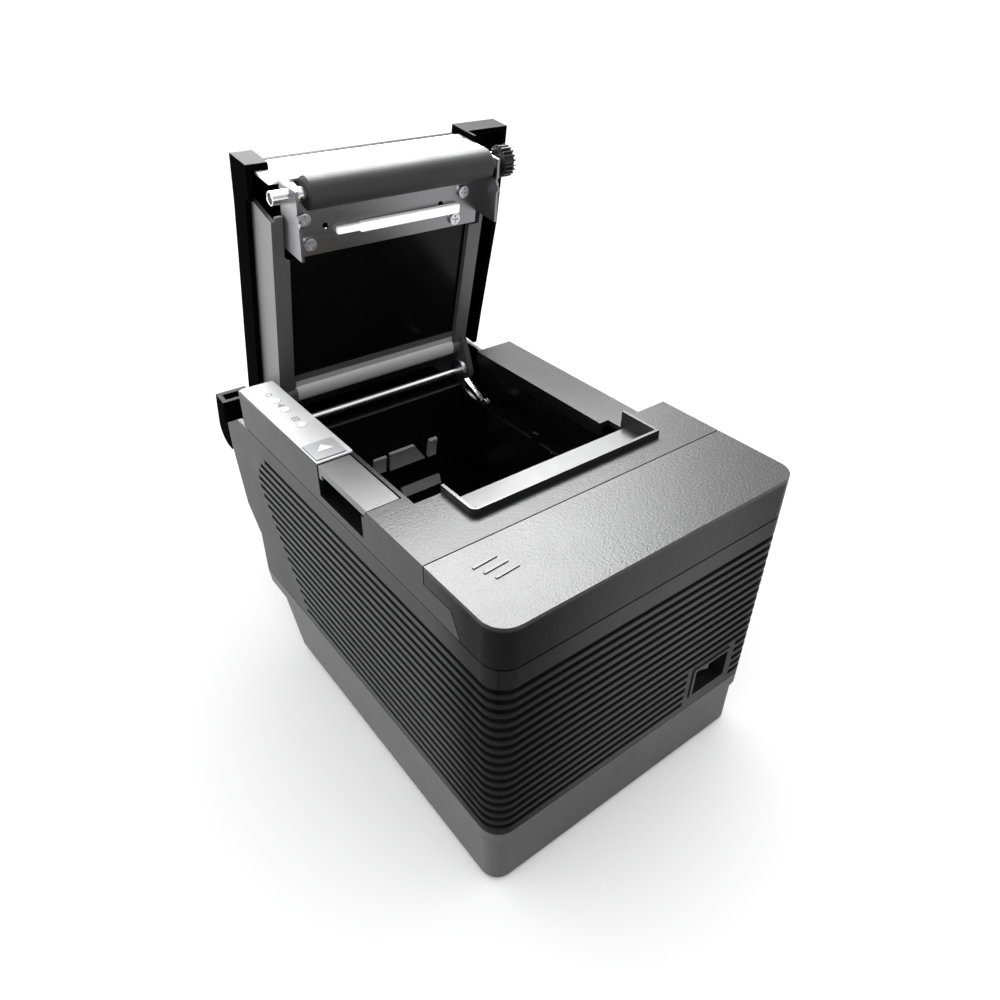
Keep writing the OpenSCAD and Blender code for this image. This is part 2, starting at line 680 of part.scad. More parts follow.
// inner frame line rises towards the back with the skin
function li(y) = 109.8 + (y - 88) * 0.09;
module band2(y0, y1, a, b) { polygon([[y0, li(y0) + a], [y1, li(y1) + a], [y1, li(y1) + b], [y0, li(y0) + b]]); }

module lid_liner() color([0.34, 0.34, 0.35]) lid_place() {
  // side skirts with slanted front ends, and hinge arms
  difference() {
    union() {
      for (x = [19.2, body_w - 24]) ex(x, x + 1.8)
        polygon([[84.5, 128], [88, li(88)], [176, li(176)], [176, 145.5], [150, 142.6], [116, 138.5], [84.5, 135]]);
      for (x = [19.2, body_w - 25.2]) ex(x, x + 3) {
        polygon([[168, li(168)], [181.5, 109.4], [190.8, 117.8], [186, 126], [186, 140], [168, 138]]);
        translate([hy, hz]) circle(r = 6.2);
      }
    }
    cx_(10, 30, hy, hz, hinge_pin_r + 0.05);
    cx_(110, body_w - 15, hy, hz, hinge_pin_r + 0.05);
  }
  // bottom ledges
  ex(21, 24.2) band2(86.4, 106, 0, 1.6);
  ex(21, 26.4) band2(105.4, 176, 0, 1.6);
  ex(body_w - 29.4, body_w - 24) band2(106, 176, 0, 1.6);
  ex(24.8, 26.4) band2(106, 176, 1.6, 5);
  ex(body_w - 29.4, body_w - 27.8) band2(106, 176, 1.6, 5);
  // rolled rear edge, a half round bead
  ex(22.2, body_w - 25.2) difference() {
    translate([174.4, li(176) + 3.2]) circle(r = 4.8);
    translate([174.4, li(176) + 3.2]) circle(r = 3.2);
    translate([160, li(176) + 3.2]) square([40, 40]);
  }
  ex(22.2, body_w - 25.2) translate([177.6, li(176) + 3.1]) square([1.6, 12]);
  // lip over the edge of the panel
  ex(22.2, body_w - 25.2) translate([165, li(168) + 1.2]) square([6, 0.9]);
}

module lid_panel() color([0.02, 0.02, 0.02]) lid_place() ex(26.6, body_w - 29.6) band2(106.2, 168, 2.4, 4);

module platen_bracket() color([0.78, 0.79, 0.8]) lid_place() {
  difference() {
    union() {
      // flat of the bracket
      bx(24.4, mx - 28, 72.6, 99.3, 110.2, 111.4);
      bx(29.6, mx - 29.2, 99.2, 104.4, 110.2, 111.4);
      // front flange
      bx(20, 121.2, 72.6, 73.8, 110.2, 122.3);
      bx(26.3, 121.2, 72.6, 73.8, 110.2, 131);
      // ears
      for (x = [24.4, mx - 29.2]) ex(x, x + 1.2) {
        polygon([[72.6, 111], [99.3, 111], [99.3, 96.2], [83, 96.8], [81.6, 98], [80.4, 97.2], [72.6, 97.6]]);
        translate([85, 96.6]) circle(r = 1.1);
      }
    }
    // slots in the flange
    for (x = [40, 75, 112]) bx(x, x + 9, 72, 75, 125, 126.4);
    for (x = [42.3, 98.1]) cz_(x, 93.2, 108, 113, 1.3);
    cx_(20, mx - 20, ry, rz, bush_r);
    // screw holes
    for (p = [[109.6, 89.2], [105.6, 100.7], [34.8, 99.5], [32.9, 88.9]]) cz_(p[0], p[1], 108, 113, 1.5);
  }
  // stand-offs up to the skin
  for (p = [[40, 100], [107, 96]]) cz_(p[0], p[1], 111.4, 136.4 + (p[1] - 90) * 0.11 - 0.7, 3);
}
module bracket_screws() color([0.7, 0.7, 0.72]) lid_place()
  for (p = [[109.6, 89.2], [105.6, 100.7], [34.8, 99.5], [32.9, 88.9]]) difference() {
    union() {
      cz_(p[0], p[1], 108.8, 110.2, 2.6);
      cz_(p[0], p[1], 110.2, 114, 1.5);
    }
    translate([p[0] - 1.8, p[1] - 0.35, 108]) cube([3.6, 0.7, 1.4]);
    translate([p[0] - 0.35, p[1] - 1.8, 108]) cube([0.7, 3.6, 1.4]);
  }
module guide_bar() color([0.85, 0.85, 0.86]) lid_place() {
  bx(57.3, 106.8, 93.6, 97.6, 107.4, 110.2);
  bx(46.7, 57.3, 94.2, 97, 108.2, 110.2);
}
module roller_bushings() color([0.8, 0.8, 0.81]) lid_place() {
  difference() {
    union() {
      cx_(16.9, 30.4, ry, rz, bush_r);
      cx_(25.6, 27, ry, rz, 4.4);
    }
    cx_(16, 32, ry, rz, shaft_r + 0.06);
  }
  difference() {
    union() {
      cx_(mx - 30.4, mx - 25.2, ry, rz, bush_r);
      cx_(mx - 30.4, mx - 29.2, ry, rz, 4.4);
    }
    cx_(mx - 32, mx - 24, ry, rz, shaft_r + 0.06);
  }
}
module platen_shaft() color([0.72, 0.72, 0.74]) lid_place() cx_(20.5, mx - 17.6, ry, rz, shaft_r);
module platen_rubber() color([0.06, 0.06, 0.06]) lid_place() difference() {
  cx_(31, mx - 31, ry, rz, roller_r);
  cx_(30, mx - 30, ry, rz, shaft_r);
}
module platen_gear() color([0.12, 0.12, 0.12]) lid_place() difference() {
  translate([0, ry, rz]) ex(mx - 24.6, mx - 19.4) gear2(platen_teeth, gm, 0);
  cx_(mx - 26, mx - 18, ry, rz, shaft_r);
}

base_pan();
main_case();
top_case();
front_cover();
status_label();
lamp_lenses();
exit_guard();
tear_bar();
window_bezel();
switch_housing();
power_rocker();
connector_plate();
dc_inlet();
usb_port();
network_port();
drawer_port();
serial_port();
mech_posts();
rubber_feet();
base_screws();
roll_bucket();
mech_frame();
head_springs();
heat_sink();
print_head();
cutter_plate();
cutter_motor();
cutter_pinion();
cutter_blade();
drive_motor();
drive_pinion();
idler_pin();
idler_gear();
main_board();
board_parts();
board_posts();
hinge_brackets();
hinge_rod();
detent_spring();
sensor_window();
sensor_posts();
roll_rest();
latch_pin();
latch_lever();
latch_shaft();
latch_hooks();
paper_sensor();
indicator_board();
button_switch();
feed_button();
lid_shell();
lid_liner();
lid_panel();
platen_bracket();
bracket_screws();
guide_bar();
roller_bushings();
platen_shaft();
platen_rubber();
platen_gear();
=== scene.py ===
import bpy, bmesh, math
from mathutils import Vector, Matrix


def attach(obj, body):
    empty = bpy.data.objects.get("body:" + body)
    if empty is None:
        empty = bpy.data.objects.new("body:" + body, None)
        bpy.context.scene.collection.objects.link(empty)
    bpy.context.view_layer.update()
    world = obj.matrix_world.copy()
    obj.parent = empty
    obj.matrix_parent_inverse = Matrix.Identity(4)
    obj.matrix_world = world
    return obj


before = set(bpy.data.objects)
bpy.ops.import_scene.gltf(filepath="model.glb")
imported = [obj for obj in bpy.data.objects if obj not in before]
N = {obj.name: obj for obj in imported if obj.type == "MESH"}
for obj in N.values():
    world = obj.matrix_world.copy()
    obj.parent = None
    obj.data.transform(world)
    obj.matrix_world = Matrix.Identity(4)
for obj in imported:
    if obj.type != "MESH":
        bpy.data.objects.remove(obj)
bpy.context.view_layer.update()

scene = bpy.context.scene

# ------------------------------------------------------------------ camera
def fit(x, y, z):
    """part drawing coordinates in mm to the frame in metres"""
    return Vector(((x - 72.5) / 1000, (y - 111.79) / 1000, (z + 2.5) / 1000))

AZ, EL, ROLL = -0.6703774325, 0.6195520081, 0.0201169290
d = Vector((-math.sin(AZ) * math.cos(EL), math.cos(AZ) * math.cos(EL), -math.sin(EL)))
right = Vector((math.cos(AZ), math.sin(AZ), 0))
up = right.cross(d)
r2 = right * math.cos(ROLL) + up * math.sin(ROLL)
u2 = -right * math.sin(ROLL) + up * math.cos(ROLL)
cam_data = bpy.data.cameras.new("camera")
cam = bpy.data.objects.new("camera", cam_data)
scene.collection.objects.link(cam)
m = Matrix((r2, u2, -d)).transposed().to_4x4()
m.translation = fit(-101.700, -127.770, 302.471)
cam.matrix_world = m
cam_data.sensor_width = 36
cam_data.lens = 28.583
cam_data.clip_start = 0.01
cam_data.clip_end = 20
scene.camera = cam
scene.view_settings.view_transform = "Standard"

# ------------------------------------------------------------------ materials
def new_mat(name):
    mt = bpy.data.materials.new(name)
    mt.use_nodes = True
    nt = mt.node_tree
    nt.nodes.clear()
    out = nt.nodes.new("ShaderNodeOutputMaterial")
    bs = nt.nodes.new("ShaderNodeBsdfPrincipled")
    nt.links.new(bs.outputs["BSDF"], out.inputs["Surface"])
    return mt, nt, bs

def tex_coord(nt, scale=(1, 1, 1)):
    tc = nt.nodes.new("ShaderNodeTexCoord")
    mp = nt.nodes.new("ShaderNodeMapping")
    mp.inputs["Scale"].default_value = scale
    nt.links.new(tc.outputs["Object"], mp.inputs["Vector"])
    return mp.outputs["Vector"]

def noise(nt, vec, scale, detail=3.0, rough=0.5):
    n = nt.nodes.new("ShaderNodeTexNoise")
    n.inputs["Scale"].default_value = scale
    n.inputs["Detail"].default_value = detail
    n.inputs["Roughness"].default_value = rough
    nt.links.new(vec, n.inputs["Vector"])
    return n.outputs["Fac"]

def ramp(nt, fac, stops):
    r = nt.nodes.new("ShaderNodeValToRGB")
    while len(r.color_ramp.elements) < len(stops):
        r.color_ramp.elements.new(0.5)
    for e, (p, c) in zip(r.color_ramp.elements, stops):
        e.position = p
        e.color = (c[0], c[1], c[2], 1) if isinstance(c, (tuple, list)) else (c, c, c, 1)
    nt.links.new(fac, r.inputs["Fac"])
    return r.outputs["Color"]

def bump(nt, bs, height, strength, distance):
    b = nt.nodes.new("ShaderNodeBump")
    b.inputs["Strength"].default_value = strength
    b.inputs["Distance"].default_value = distance
    nt.links.new(height, b.inputs["Height"])
    nt.links.new(b.outputs["Normal"], bs.inputs["Normal"])
    return b

def add_h(nt, a, b, wb):
    mu = nt.nodes.new("ShaderNodeMath"); mu.operation = "MULTIPLY_ADD"
    nt.links.new(b, mu.inputs[0]); mu.inputs[1].default_value = wb
    nt.links.new(a, mu.inputs[2])
    return mu.outputs[0]

def plastic(name, col, rough, grain=2200, strength=0.35, dist=0.00008, spec=0.5, var=0.12, rvar=0.06, coat=0.0):
    """moulded plastic: spark-eroded grain, faint handling marks and a little fine dust"""
    mt, nt, bs = new_mat(name)
    v = tex_coord(nt)
    blot = noise(nt, v, 26, 4, 0.6)
    fine = noise(nt, v, grain, 2, 0.6)
    dust = noise(nt, v, 900, 2, 0.7)
    lo = tuple(c * (1 - var) for c in col)
    hi = tuple(min(1, c * (1 + var)) for c in col)
    c1 = ramp(nt, blot, [(0.3, lo), (0.7, hi)])
    mx = nt.nodes.new("ShaderNodeMix"); mx.data_type = "RGBA"; mx.blend_type = "MIX"
    dm = ramp(nt, dust, [(0.70, 0.0), (0.80, 0.10)])
    nt.links.new(dm, mx.inputs[0])
    nt.links.new(c1, mx.inputs[6])
    mx.inputs[7].default_value = tuple(min(1, c * 1.5 + 0.05) for c in col) + (1,)
    nt.links.new(mx.outputs[2], bs.inputs["Base Color"])
    rr = ramp(nt, noise(nt, v, 60, 3, 0.6), [(0.25, rough - rvar), (0.75, rough + rvar)])
    nt.links.new(rr, bs.inputs["Roughness"])
    bs.inputs["Specular IOR Level"].default_value = spec
    bs.inputs["Coat Weight"].default_value = coat
    bump(nt, bs, fine, strength, dist)
    return mt

def gloss(name, col, rough=0.12, spec=0.5, coat=0.3):
    """polished black moulding: nearly mirror smooth with slight flow ripple and hairline scratches"""
    mt, nt, bs = new_mat(name)
    v = tex_coord(nt)
    blot = noise(nt, v, 30, 3, 0.5)
    nt.links.new(ramp(nt, blot, [(0.3, tuple(c * 0.8 for c in col)), (0.7, tuple(c * 1.3 for c in col))]), bs.inputs["Base Color"])
    scr = noise(nt, tex_coord(nt, (1, 0.05, 1)), 1500, 2, 0.5)
    nt.links.new(ramp(nt, scr, [(0.45, rough), (0.75, rough + 0.10)]), bs.inputs["Roughness"])
    bs.inputs["Specular IOR Level"].default_value = spec
    bs.inputs["Coat Weight"].default_value = coat
    bs.inputs["Coat Roughness"].default_value = 0.08
    bump(nt, bs, noise(nt, v, 45, 2, 0.5), 0.12, 0.0002)
    return mt

def metal(name, col, rough, stretch=(1, 1, 1), scale=900, strength=0.15, rv=0.08):
    """sheet or turned metal: directional brushing, slight staining"""
    mt, nt, bs = new_mat(name)
    v = tex_coord(nt)
    sv = tex_coord(nt, stretch)
    br = noise(nt, sv, scale, 3, 0.6)
    st = noise(nt, v, 35, 3, 0.6)
    nt.links.new(ramp(nt, st, [(0.3, tuple(c * 0.88 for c in col)), (0.7, col)]), bs.inputs["Base Color"])
    nt.links.new(ramp(nt, br, [(0.3, max(0.03, rough - rv)), (0.7, rough + rv)]), bs.inputs["Roughness"])
    bs.inputs["Metallic"].default_value = 1.0
    bump(nt, bs, br, strength, 0.00004)
    return mt

def mask_boxes(nt, boxes):
    """1 inside any of the boxes (drawing mm), 0 outside, from the position on the part"""
    tc = nt.nodes.new("ShaderNodeTexCoord")
    sx = nt.nodes.new("ShaderNodeSeparateXYZ")
    nt.links.new(tc.outputs["Object"], sx.inputs[0])
    total = None
    for b in boxes:
        lo, hi = fit(b[0], b[2], b[4]), fit(b[1], b[3], b[5])
        prod = None
        for i in range(3):
            for op, val in (("GREATER_THAN", lo[i]), ("LESS_THAN", hi[i])):
                c = nt.nodes.new("ShaderNodeMath"); c.operation = op
                nt.links.new(sx.outputs[i], c.inputs[0]); c.inputs[1].default_value = val
                if prod is None:
                    prod = c.outputs[0]
                else:
                    m = nt.nodes.new("ShaderNodeMath"); m.operation = "MULTIPLY"
                    nt.links.new(prod, m.inputs[0]); nt.links.new(c.outputs[0], m.inputs[1])
                    prod = m.outputs[0]
        if total is None:
            total = prod
        else:
            m = nt.nodes.new("ShaderNodeMath"); m.operation = "MAXIMUM"
            nt.links.new(total, m.inputs[0]); nt.links.new(prod, m.inputs[1])
            total = m.outputs[0]
    return total

def darken(mt, boxes, col=(0.004, 0.004, 0.0042)):
    """paints a colour inside the boxes (drawing mm): near black by default, as painted shade on unlit inner faces, or a
    given lighter colour as painted light; the rest keeps its colour
    """
    nt = mt.node_tree
    bs = [n for n in nt.nodes if n.type == "BSDF_PRINCIPLED"][0]
    src = bs.inputs["Base Color"].links[0].from_socket
    mk = mask_boxes(nt, boxes)
    mx = nt.nodes.new("ShaderNodeMix"); mx.data_type = "RGBA"; mx.blend_type = "MIX"
    nt.links.new(mk, mx.inputs[0])
    nt.links.new(src, mx.inputs[6])
    mx.inputs[7].default_value = col + (1,)
    nt.links.new(mx.outputs[2], bs.inputs["Base Color"])
    return mt

def tint(mt, boxes, spec=None, rough=None, col=None):
    """a different sheen, and colour if given, inside the boxes (drawing mm)"""
    nt = mt.node_tree
    bs = [n for n in nt.nodes if n.type == "BSDF_PRINCIPLED"][0]
    mk = mask_boxes(nt, boxes)
    for sock, val in (("Specular IOR Level", spec), ("Roughness", rough)):
        if val is None:
            continue
        mx = nt.nodes.new("ShaderNodeMix"); mx.data_type = "FLOAT"
        nt.links.new(mk, mx.inputs[0])
        if bs.inputs[sock].links:
            nt.links.new(bs.inputs[sock].links[0].from_socket, mx.inputs[2])
        else:
            mx.inputs[2].default_value = bs.inputs[sock].default_value
        mx.inputs[3].default_value = val
        nt.links.new(mx.outputs[0], bs.inputs[sock])
    if col is not None:
        darken(mt, boxes, col)
    return mt

def smooth(nt, sock, a, b, lo, hi):
    m = nt.nodes.new("ShaderNodeMapRange"); m.interpolation_type = "SMOOTHSTEP"
    nt.links.new(sock, m.inputs["Value"])
    m.inputs["From Min"].default_value = a; m.inputs["From Max"].default_value = b
    m.inputs["To Min"].default_value = lo; m.inputs["To Max"].default_value = hi
    return m.outputs["Result"]
def calc(nt, op, a, b):
    m = nt.nodes.new("ShaderNodeMath"); m.operation = op
    nt.links.new(a, m.inputs[0])
    if isinstance(b, float):
        m.inputs[1].default_value = b
    else:
        nt.links.new(b, m.inputs[1])
    return m.outputs[0]

MATS = {
    "case": plastic("case_plastic", (0.008, 0.008, 0.0083), 0.42, grain=2600, strength=0.40, spec=0.27, rvar=0.03),
    "base": plastic("base_plastic", (0.055, 0.055, 0.056), 0.50, grain=2600, strength=0.40, spec=0.36, rvar=0.03),
    "top": plastic("top_plastic", (0.012, 0.012, 0.0125), 0.37, grain=1050, strength=0.8, dist=0.00013, spec=0.285, rvar=0.015),
    "cover": plastic("cover_plastic", (0.006, 0.006, 0.0063), 0.36, grain=1050, strength=0.8, dist=0.00013, spec=0.31, rvar=0.015),
    "liner": plastic("liner_plastic", (0.075, 0.075, 0.077), 0.34, grain=1800, strength=0.2, rvar=0.03),
    "black": plastic("black_plastic", (0.008, 0.008, 0.0085), 0.42, grain=1800, strength=0.2, spec=0.3),
    "guard": plastic("guard_plastic", (0.012, 0.012, 0.0125), 0.34, grain=2400, strength=0.25, spec=0.45),
    "lid": plastic("lid_plastic", (0.008, 0.008, 0.0083), 0.40, grain=1300, strength=0.5, spec=0.22, rvar=0.02),
    "glossblack": gloss("gloss_black", (0.003, 0.003, 0.0032), rough=0.16, spec=0.12, coat=0.0),
    "bucket": gloss("bucket_black", (0.003, 0.003, 0.0032), rough=0.22, spec=0.22, coat=0.0),
    "label": plastic("label_film", (0.48, 0.48, 0.485), 0.42, grain=1500, strength=0.08, var=0.03, rvar=0.03),
    "button": plastic("button_plastic", (0.30, 0.30, 0.305), 0.36, grain=1500, strength=0.12, var=0.03, rvar=0.04),
    "arrow": plastic("arrow_plastic", (0.62, 0.62, 0.62), 0.36, grain=1500, strength=0.12, var=0.03, rvar=0.04),
    "lamp": gloss("lamp_lens", (0.86, 0.86, 0.85), rough=0.12, coat=0.5),
    "lampring": plastic("lamp_ring_ink", (0.34, 0.34, 0.345), 0.4, grain=1500, strength=0.05, var=0.02),
    "steel": metal("steel_sheet", (0.60, 0.60, 0.62), 0.32, (1, 0.04, 1)),
    "rod": metal("polished_rod", (0.80, 0.80, 0.81), 0.20, (0.03, 1, 1), scale=700, strength=0.05, rv=0.05),
    "bright": metal("bright_sheet", (0.80, 0.80, 0.81), 0.30, (0.04, 1, 1), scale=1400, strength=0.05, rv=0.03),
    "chrome": metal("bushing_metal", (0.78, 0.78, 0.79), 0.16, (1, 1, 1), scale=500, strength=0.05, rv=0.04),
    "rubber": plastic("roller_rubber", (0.030, 0.030, 0.0305), 0.56, grain=1400, strength=0.35, dist=0.0001, spec=0.30),
    "nylon": plastic("nylon", (0.78, 0.77, 0.74), 0.40, grain=1200, strength=0.06, var=0.03),
    "whitebar": plastic("guide_plastic", (0.95, 0.95, 0.95), 0.35, grain=1200, strength=0.06, var=0.02),
    "gear": plastic("gear_plastic", (0.010, 0.010, 0.0105), 0.32, grain=1200, strength=0.08, spec=0.45),
    "sensor": plastic("sensor_plastic", (0.30, 0.30, 0.305), 0.30, grain=1200, strength=0.1, var=0.04),
    "pcb": plastic("board_green", (0.015, 0.085, 0.04), 0.35, grain=700, strength=0.1),
    "ceramic": plastic("head_ceramic", (0.35, 0.30, 0.22), 0.28, grain=900, strength=0.05),
    "motor": metal("motor_can", (0.30, 0.30, 0.31), 0.35, (1, 1, 0.05)),
    "lever": plastic("lever_plastic", (0.07, 0.07, 0.071), 0.38, grain=2000, strength=0.5, dist=0.0001, spec=0.50, rvar=0.015),
    "rocker": plastic("rocker_plastic", (0.16, 0.16, 0.165), 0.33, grain=1500, strength=0.12),
    "ink": plastic("marking_ink", (0.012, 0.012, 0.013), 0.5, grain=1500, strength=0.05, var=0.02),
}

# painted shade: the flange of the bracket stays bright, the flat and the ears are painted darker, as they are less lit
darken(MATS["bright"], [(-10, 160, 150, 260, 150, 225.0)], (0.22, 0.22, 0.225))

# painted shade: the finger recess under the lever, and the inside of the case behind the top frame, are painted near
# black
darken(MATS["top"], [(-1, 14.65, 79.65, 112.95, 123.15, 133.6), (2.35, 14.7, 60, 113, 110, 134.95), (14.5, 124, 69.6, 178.2, 118, 137.1)])
darken(MATS["case"], [(2.35, 142.6, 2.35, 208.7, 97, 121)])

# painted shade: the front of the cover is given less sheen than its top, most of all at the two ends, and the front of
# the case likewise
def shade_front_sheen(mt, base, scale):
    nt = mt.node_tree
    bs = [n for n in nt.nodes if n.type == "BSDF_PRINCIPLED"][0]
    tc = nt.nodes.new("ShaderNodeTexCoord")
    sx = nt.nodes.new("ShaderNodeSeparateXYZ")
    nt.links.new(tc.outputs["Object"], sx.inputs[0])
    x, y, z = sx.outputs[0], sx.outputs[1], sx.outputs[2]
    f = calc(nt, "MULTIPLY", smooth(nt, x, -0.066, -0.008, 0.15, 1.0), smooth(nt, x, 0.015, 0.066, 1.0, 0.35))
    g = smooth(nt, y, -0.106, -0.066, 0.0, 1.0)
    side = calc(nt, "MULTIPLY", calc(nt, "MAXIMUM", f, g), scale)
    up = smooth(nt, z, 0.1375, 0.1392, 0.0, 1.0)
    mx = nt.nodes.new("ShaderNodeMix"); mx.data_type = "FLOAT"
    nt.links.new(up, mx.inputs[0]); nt.links.new(side, mx.inputs[2]); mx.inputs[3].default_value = base
    nt.links.new(mx.outputs[0], bs.inputs["Specular IOR Level"])
def shade_rail_sheen(mt, base, low):
    """painted shade: the rail on the right loses its sheen towards the back"""
    nt = mt.node_tree
    bs = [n for n in nt.nodes if n.type == "BSDF_PRINCIPLED"][0]
    tc = nt.nodes.new("ShaderNodeTexCoord")
    sx = nt.nodes.new("ShaderNodeSeparateXYZ")
    nt.links.new(tc.outputs["Object"], sx.inputs[0])
    mk = calc(nt, "MULTIPLY", smooth(nt, sx.outputs[0], 0.030, 0.062, 0.0, 1.0), smooth(nt, sx.outputs[1], -0.045, 0.02, 0.0, 1.0))
    mx = nt.nodes.new("ShaderNodeMix"); mx.data_type = "FLOAT"
    nt.links.new(mk, mx.inputs[0]); mx.inputs[2].default_value = base; mx.inputs[3].default_value = low
    nt.links.new(mx.outputs[0], bs.inputs["Specular IOR Level"])
# painted shade on the fronts of the cover and the case, by a lower sheen
shade_front_sheen(MATS["cover"], 0.31, 0.19)
shade_front_sheen(MATS["case"], 0.27, 0.27)
# painted light: the tops of the low dashes are painted a little lighter than the cover
darken(MATS["cover"], [(9, 32, 16, 33, 137.53, 139)], (0.035, 0.035, 0.0355))
# painted shade: the side walls of the lid are painted dead black, the tops of the horns are not
def shade_lid_walls(mt):
    """painted shade: by the way each face points, the side walls and inside of the lid are painted dead black with no
    sheen; its outer skin is like the case, its front edge is given less sheen
    """
    nt = mt.node_tree
    bs = [n for n in nt.nodes if n.type == "BSDF_PRINCIPLED"][0]
    tc = nt.nodes.new("ShaderNodeTexCoord")
    sx = nt.nodes.new("ShaderNodeSeparateXYZ")
    nt.links.new(tc.outputs["Normal"], sx.inputs[0])
    def gate(sock, sign, lim):
        return calc(nt, "GREATER_THAN", calc(nt, "MULTIPLY", sock, sign), lim)
    nx, ny, nz = sx.outputs
    wall_shade = calc(nt, "MAXIMUM", calc(nt, "MAXIMUM", gate(nx, 1.0, 0.7), gate(nx, -1.0, 0.7)), gate(ny, -1.0, 0.3))
    src = bs.inputs["Base Color"].links[0].from_socket
    mx = nt.nodes.new("ShaderNodeMix"); mx.data_type = "RGBA"; mx.blend_type = "MIX"
    nt.links.new(wall_shade, mx.inputs[0]); nt.links.new(src, mx.inputs[6])
    mx.inputs[7].default_value = (0.002, 0.002, 0.0022, 1)
    nt.links.new(mx.outputs[2], bs.inputs["Base Color"])
    m1 = nt.nodes.new("ShaderNodeMix"); m1.data_type = "FLOAT"
    nt.links.new(gate(nz, 1.0, 0.7), m1.inputs[0]); m1.inputs[2].default_value = 0.24; m1.inputs[3].default_value = 0.035
    m2 = nt.nodes.new("ShaderNodeMix"); m2.data_type = "FLOAT"
    nt.links.new(wall_shade, m2.inputs[0]); nt.links.new(m1.outputs[0], m2.inputs[2]); m2.inputs[3].default_value = 0.0
    nt.links.new(m2.outputs[0], bs.inputs["Specular IOR Level"])
# painted shade: less sheen on the back of the right rail
shade_rail_sheen(MATS["top"], 0.25, 0.13)
# painted shade: the lid's side walls and inside are painted black by face direction
shade_lid_walls(MATS["lid"])
# painted highlight: the rolled rear edge of the liner is painted lighter and given more sheen
tint(MATS["liner"], [(27.5, 115, 180, 198, 117.5, 133)], spec=0.9, rough=0.2, col=(0.42, 0.42, 0.425))

LOOK = dict(base_pan="base", main_case="case", top_case="top", front_cover="cover", status_label="label",
    lamp_lenses="lamp", exit_guard="guard", tear_bar="steel", window_bezel="case", switch_housing="black",
    power_rocker="rocker", connector_plate="steel", dc_inlet="black", usb_port="steel", network_port="steel",
    drawer_port="black", serial_port="steel", mech_posts="black", rubber_feet="rubber", base_screws="steel",
    roll_bucket="bucket", mech_frame="steel", head_springs="steel", heat_sink="bright", print_head="ceramic",
    cutter_plate="steel", cutter_motor="motor", cutter_pinion="nylon", cutter_blade="steel", drive_motor="motor",
    drive_pinion="nylon", idler_pin="steel", idler_gear="nylon", main_board="pcb", board_parts="black",
    board_posts="black", hinge_brackets="steel", hinge_pins="rod", hinge_rod="rod", detent_spring="rod", sensor_window="sensor",
    sensor_posts="sensor", roll_rest="sensor", latch_pin="steel", latch_lever="lever",
    latch_shaft="steel", latch_hooks="steel", paper_sensor="black", indicator_board="pcb", button_switch="black",
    feed_button="button", lid_shell="lid", lid_liner="liner", lid_panel="glossblack", platen_bracket="bright",
    bracket_screws="steel", guide_bar="whitebar", roller_bushings="chrome", platen_shaft="steel",
    platen_rubber="rubber", platen_gear="gear")

def set_mat(o, mt):
    o.data.materials.clear()
    o.data.materials.append(mt)

BEVEL = dict(front_cover=0.0013, top_case=0.0005, main_case=0.0003, base_pan=0.0006, exit_guard=0.0004,
    lid_shell=0.0007, lid_liner=0.0004, status_label=0.0001, latch_lever=0.0004, feed_button=0.00035,
    window_bezel=0.0003, switch_housing=0.0002, power_rocker=0.0004, roll_bucket=0.0004, platen_bracket=0.0002,
    guide_bar=0.0005, roller_bushings=0.0002, platen_rubber=0.0003, platen_gear=0.0001, lamp_lenses=0.0003,
    rubber_feet=0.0004, bracket_screws=0.0002, platen_shaft=0.0003, latch_hooks=0.0002, hinge_brackets=0.0002,
    mech_frame=0.0002, heat_sink=0.0001, tear_bar=0.00008)

def bevel(o, w, seg=3):
    wd = o.modifiers.new("weld", "WELD"); wd.merge_threshold = 1e-6
    b = o.modifiers.new("bevel", "BEVEL")
    b.width = w; b.segments = seg; b.limit_method = "ANGLE"; b.angle_limit = math.radians(38)
    b.use_clamp_overlap = True; b.harden_normals = False
    wn = o.modifiers.new("wn", "WEIGHTED_NORMAL"); wn.keep_sharp = False; wn.weight = 60

for name, o in N.items():
    if name in LOOK:
        set_mat(o, MATS[LOOK[name]])
    if name in BEVEL:
        bevel(o, BEVEL[name])

# ------------------------------------------------------------------ helper for added pieces
def mesh_obj(name, bm, mat):
    me = bpy.data.meshes.new(name)
    bm.normal_update()
    bm.to_mesh(me)
    bm.free()
    o = bpy.data.objects.new(name, me)
    scene.collection.objects.link(o)
    me.materials.append(mat)
    return o

def plate_from_outline(bm, pts, z0, z1):
    """upright prism from an outline in drawing mm"""
    lo = [bm.verts.new(fit(x, y, z0)) for x, y in pts]
    hi = [bm.verts.new(fit(x, y, z1)) for x, y in pts]
    bm.faces.new(list(reversed(lo)))
    bm.faces.new(hi)
    n = len(pts)
    for i in range(n):
        j = (i + 1) % n
        bm.faces.new((lo[i], lo[j], hi[j], hi[i]))

def ring(cx, cy, r0, r1, a0=0.0, a1=2 * math.pi, n=40):
    o, i = [], []
    for k in range(n + 1):
        a = a0 + (a1 - a0) * k / n
        o.append((cx + r1 * math.cos(a), cy + r1 * math.sin(a)))
        i.append((cx + r0 * math.cos(a), cy + r0 * math.sin(a)))
    return o, i

# ------------------------------------------------------------------ markings on the status label
LT = 137.8
bm = bmesh.new()
